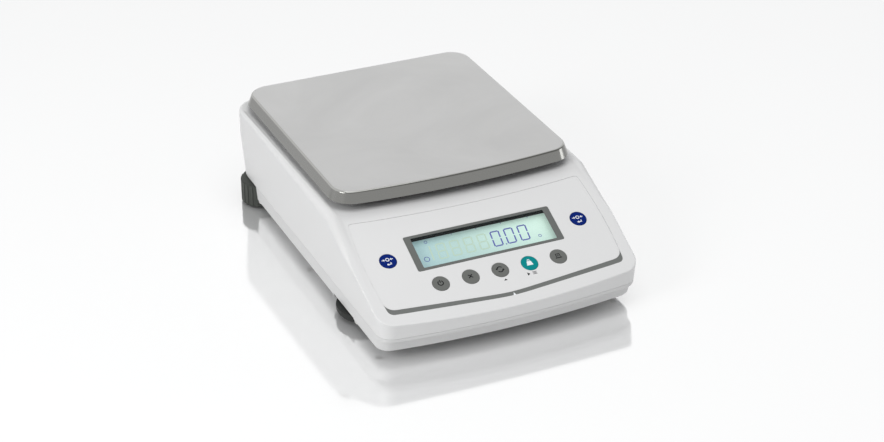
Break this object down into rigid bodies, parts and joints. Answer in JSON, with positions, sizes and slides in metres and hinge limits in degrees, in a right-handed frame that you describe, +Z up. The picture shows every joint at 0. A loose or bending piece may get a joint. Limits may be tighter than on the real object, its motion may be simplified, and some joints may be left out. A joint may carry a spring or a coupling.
{
  "type": "laboratory balance",
  "caption": "Top-loading laboratory balance: wide steel pan on a force compensation cell, sloping panel with display and touch keys, levelling feet with ribbed wheels.",
  "frame": {"origin": "on the bench, below the middle of the housing", "axes": "+Z up, +Y towards the rear wall, the nose with its keys faces -Y, +X to the user's right"},
  "size_m": [0.2198, 0.308, 0.0908],
  "materials": {
    "housing_white": "fine-grained moulded shell",
    "film_white": "satin printed film",
    "stripe_grey": "satin print",
    "print_grey": "satin print",
    "window_clear": "clear, polished",
    "bezel_black": "matt",
    "lcd_face": "lit liquid crystal face",
    "light_guide": "frosted",
    "key_grey": "satin",
    "key_teal": "satin",
    "key_blue": "satin",
    "board_green": "solder resist",
    "component_black": "moulded",
    "screw_steel": "zinc plated",
    "ribbon_grey": "flexible flat cable",
    "cell_aluminium": "milled",
    "spring_steel": "bare",
    "magnet_steel": "nickel plated",
    "coil_copper": "enamelled winding",
    "pan_steel": "satin stainless sheet",
    "support_cast": "cast",
    "buffer_rubber": "matt",
    "wheel_grey": "ribbed, satin",
    "pad_rubber": "matt",
    "bush_brass": "turned"
  },
  "bodies": {
    "housing": {"upper_housing": "housing_white", "lower_housing": "housing_white", "overlay_film": "film_white", "accent_strip": "stripe_grey", "display_frame": "print_grey", "display_window": "window_clear", "lcd_bezel": "bezel_black", "lcd_glass": "lcd_face", "lcd_backlight": "light_guide", "key_board": "board_green", "key_switches": "component_black", "key_board_screws": "screw_steel", "main_board": "board_green", "main_board_parts": "component_black", "main_board_screws": "screw_steel", "power_socket": "component_black", "data_socket": "screw_steel", "ribbon_cable": "ribbon_grey", "cell_frame": "cell_aluminium", "guide_clamp": "cell_aluminium", "magnet_pot": "magnet_steel", "magnet_core": "magnet_steel", "position_sensor": "component_black", "cell_screws": "screw_steel", "housing_screws": "screw_steel", "underhook_cover": "housing_white", "foot_bushes": "bush_brass"},
    "key_power": {"key_power": "key_grey"},
    "key_clear": {"key_clear": "key_grey"},
    "key_toggle": {"key_toggle": "key_grey"},
    "key_calibrate": {"key_calibrate": "key_teal"},
    "key_print": {"key_print": "key_grey"},
    "key_tare_left": {"key_tare_left": "key_blue"},
    "key_tare_right": {"key_tare_right": "key_blue"},
    "load_carrier": {"load_receptor": "cell_aluminium", "receptor_clamp": "cell_aluminium", "coupling_link": "spring_steel"},
    "upper_guide": {"upper_guide": "spring_steel"},
    "lower_guide": {"lower_guide": "spring_steel"},
    "lever": {"transmission_lever": "cell_aluminium", "coil": "coil_copper"},
    "pan_support": {"pan_support": "support_cast", "pan_buffers": "buffer_rubber"},
    "weighing_pan": {"weighing_pan": "pan_steel"},
    "pad_front_left": {"pad_front_left": "pad_rubber"},
    "wheel_front_left": {"wheel_front_left": "wheel_grey"},
    "pad_front_right": {"pad_front_right": "pad_rubber"},
    "wheel_front_right": {"wheel_front_right": "wheel_grey"},
    "pad_rear_left": {"pad_rear_left": "pad_rubber"},
    "wheel_rear_left": {"wheel_rear_left": "wheel_grey"},
    "pad_rear_right": {"pad_rear_right": "pad_rubber"},
    "wheel_rear_right": {"wheel_rear_right": "wheel_grey"}
  },
  "joints": [
    {"name": "press_power", "type": "slide", "parent": "housing", "child": "key_power", "axis": [0, 0.4051, -0.9143], "range_m": [0, 0.00035], "stiffness_N_per_m": 900, "springref_m": -0.0002},
    {"name": "press_clear", "type": "slide", "parent": "housing", "child": "key_clear", "axis": [0, 0.4051, -0.9143], "range_m": [0, 0.00035], "stiffness_N_per_m": 900, "springref_m": -0.0002},
    {"name": "press_toggle", "type": "slide", "parent": "housing", "child": "key_toggle", "axis": [0, 0.4051, -0.9143], "range_m": [0, 0.00035], "stiffness_N_per_m": 900, "springref_m": -0.0002},
    {"name": "press_calibrate", "type": "slide", "parent": "housing", "child": "key_calibrate", "axis": [0, 0.4051, -0.9143], "range_m": [0, 0.00035], "stiffness_N_per_m": 900, "springref_m": -0.0002},
    {"name": "press_print", "type": "slide", "parent": "housing", "child": "key_print", "axis": [0, 0.4051, -0.9143], "range_m": [0, 0.00035], "stiffness_N_per_m": 900, "springref_m": -0.0002},
    {"name": "press_tare_left", "type": "slide", "parent": "housing", "child": "key_tare_left", "axis": [0, 0.4051, -0.9143], "range_m": [0, 0.00035], "stiffness_N_per_m": 900, "springref_m": -0.0002},
    {"name": "press_tare_right", "type": "slide", "parent": "housing", "child": "key_tare_right", "axis": [0, 0.4051, -0.9143], "range_m": [0, 0.00035], "stiffness_N_per_m": 900, "springref_m": -0.0002},
    {"name": "load_travel", "type": "slide", "parent": "housing", "child": "load_carrier", "axis": [0, 0, 1], "range_m": [-0.0002, 0.0002], "stiffness_N_per_m": 40000},
    {"name": "upper_guide_flexure", "type": "hinge", "parent": "housing", "child": "upper_guide", "pos_m": [0, -0.04399, 0.063], "axis": [1, 0, 0], "range_deg": [-0.13, 0.13]},
    {"name": "lower_guide_flexure", "type": "hinge", "parent": "housing", "child": "lower_guide", "pos_m": [0, -0.04399, 0.0205], "axis": [1, 0, 0], "range_deg": [-0.13, 0.13]},
    {"name": "lever_flexure", "type": "hinge", "parent": "housing", "child": "lever", "pos_m": [0, 0.02751, 0.0475], "axis": [1, 0, 0], "range_deg": [-1, 1]},
    {"name": "support_lift", "type": "slide", "parent": "load_carrier", "child": "pan_support", "axis": [0, 0, 1], "range_m": [0, 0.03]},
    {"name": "pan_lift", "type": "slide", "parent": "pan_support", "child": "weighing_pan", "axis": [0, 0, 1], "range_m": [0, 0.06]},
    {"name": "height_front_left", "type": "slide", "parent": "housing", "child": "pad_front_left", "axis": [0, 0, 1], "range_m": [-0.004, 0.0005]},
    {"name": "turn_front_left", "type": "hinge", "parent": "pad_front_left", "child": "wheel_front_left", "pos_m": [-0.0855, -0.07101, 0], "axis": [0, 0, 1], "range_deg": [-1152, 144]},
    {"name": "height_front_right", "type": "slide", "parent": "housing", "child": "pad_front_right", "axis": [0, 0, 1], "range_m": [-0.004, 0.0005]},
    {"name": "turn_front_right", "type": "hinge", "parent": "pad_front_right", "child": "wheel_front_right", "pos_m": [0.0855, -0.07101, 0], "axis": [0, 0, 1], "range_deg": [-1152, 144]},
    {"name": "height_rear_left", "type": "slide", "parent": "housing", "child": "pad_rear_left", "axis": [0, 0, 1], "range_m": [-0.004, 0.0005]},
    {"name": "turn_rear_left", "type": "hinge", "parent": "pad_rear_left", "child": "wheel_rear_left", "pos_m": [-0.0919, 0.12901, 0], "axis": [0, 0, 1], "range_deg": [-1152, 144]},
    {"name": "height_rear_right", "type": "slide", "parent": "housing", "child": "pad_rear_right", "axis": [0, 0, 1], "range_m": [-0.004, 0.0005]},
    {"name": "turn_rear_right", "type": "hinge", "parent": "pad_rear_right", "child": "wheel_rear_right", "pos_m": [0.0919, 0.12901, 0], "axis": [0, 0, 1], "range_deg": [-1152, 144]}
  ],
  "couplings": [
    {"joint": "upper_guide_flexure", "follows": "load_travel", "rad_per_m": 10.471},
    {"joint": "lower_guide_flexure", "follows": "load_travel", "rad_per_m": 10.471},
    {"joint": "lever_flexure", "follows": "load_travel", "rad_per_m": 83.333},
    {"joint": "height_front_left", "follows": "turn_front_left", "m_per_rad": 0.00019894},
    {"joint": "height_front_right", "follows": "turn_front_right", "m_per_rad": 0.00019894},
    {"joint": "height_rear_left", "follows": "turn_rear_left", "m_per_rad": 0.00019894},
    {"joint": "height_rear_right", "follows": "turn_rear_right", "m_per_rad": 0.00019894}
  ]
}
